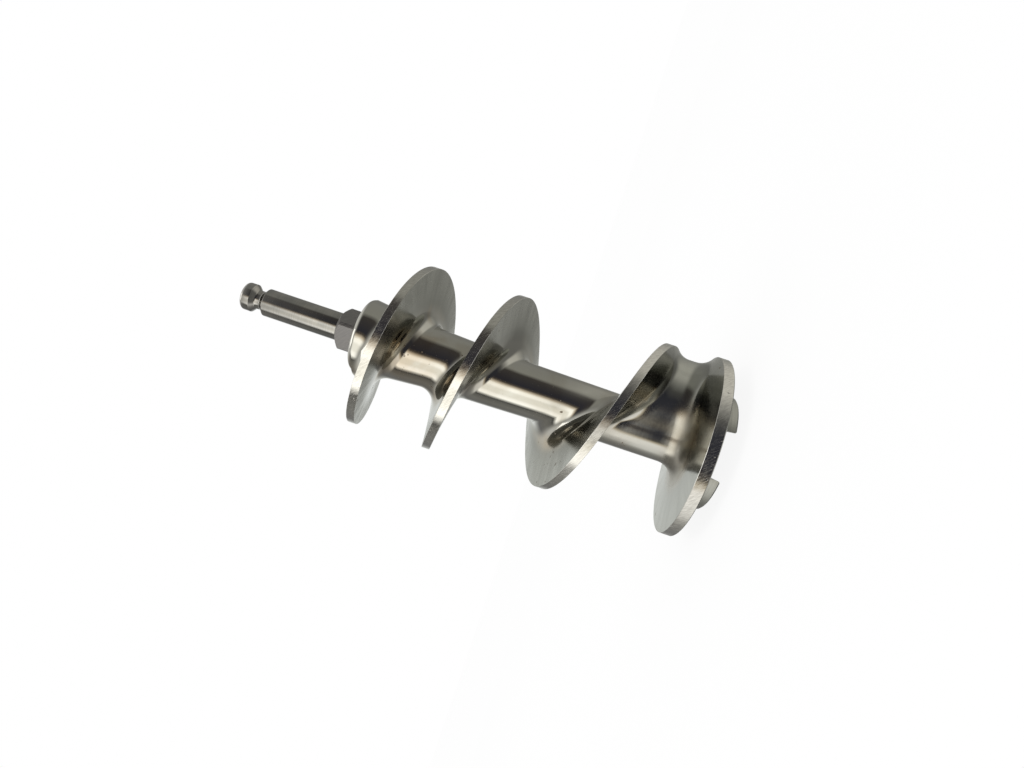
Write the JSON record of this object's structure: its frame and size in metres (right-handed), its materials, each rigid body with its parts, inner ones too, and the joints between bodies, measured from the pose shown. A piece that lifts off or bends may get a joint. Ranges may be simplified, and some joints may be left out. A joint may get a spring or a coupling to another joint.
{
  "type": "meat grinder auger",
  "caption": "Left-handed auger with a narrowing pitch, a rear disc with a slotted drive boss, and a front pin with a knife square and a plain journal.",
  "frame": {"origin": "on the axis, at the end faces of the two drive lugs, on which it stands", "axes": "+Z along the axis from the drive end to the knife pin, with the drive slot along Y"},
  "size_m": [0.098, 0.098, 0.2712],
  "materials": {
    "auger_body": "polished root, satin flight faces, ground rim",
    "knife_pin": "turned and ground, darker than the body"
  },
  "bodies": {
    "root": {"auger_body": "auger_body", "knife_pin": "knife_pin"}
  },
  "joints": []
}
